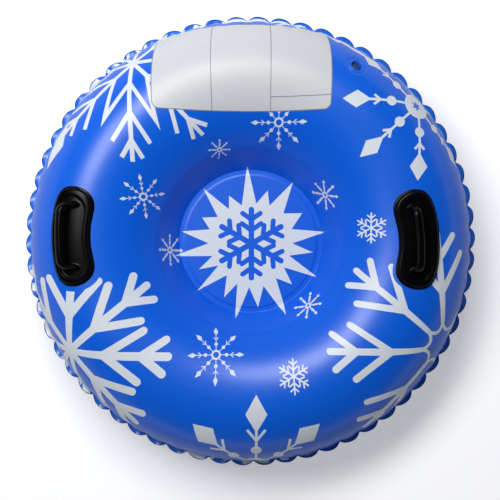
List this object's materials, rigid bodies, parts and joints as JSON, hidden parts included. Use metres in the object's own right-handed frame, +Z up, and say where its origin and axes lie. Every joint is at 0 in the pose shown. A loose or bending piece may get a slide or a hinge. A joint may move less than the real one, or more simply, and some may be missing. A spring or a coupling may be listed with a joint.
{
  "type": "snow tube",
  "caption": "Round inflatable snow tube: fat air ring with a welded seat in its centre, scalloped rim weld, kidney-shaped side handles and a push-in air valve.",
  "frame": {"origin": "on the ground under the centre of the ring, with the tube lying flat on its running side", "axes": "+Z up along the ring's axis, +X towards the right handle, +Y towards the side that carries the valve"},
  "size_m": [1, 0.9992, 0.2979],
  "materials": {
    "printed_pvc": "satin",
    "running_pvc": "satin",
    "handle_pvc": "satin",
    "clear_pvc": "gloss"
  },
  "bodies": {
    "tube": {"top_sheet": "printed_pvc", "bottom_sheet": "running_pvc", "handle_left": "handle_pvc", "handle_right": "handle_pvc", "valve_flange": "printed_pvc"},
    "stem": {"valve_stem": "clear_pvc"},
    "flap": {"valve_flap": "clear_pvc"},
    "stopper": {"valve_stopper": "clear_pvc", "valve_strap": "clear_pvc"}
  },
  "joints": [
    {"name": "stem_pull", "type": "slide", "parent": "tube", "child": "stem", "axis": [0.3299, 0.5448, 0.771], "range_m": [0, 0.013]},
    {"name": "flap_hinge", "type": "hinge", "parent": "stem", "child": "flap", "pos_m": [0.2214, 0.36558, 0.19181], "axis": [0.8554, -0.518, 0], "range_deg": [0, 60], "stiffness_Nm_per_rad": 0.0005},
    {"name": "stopper_pull", "type": "slide", "parent": "stem", "child": "stopper", "axis": [0.3299, 0.5448, 0.771], "range_m": [0, 0.01]}
  ]
}
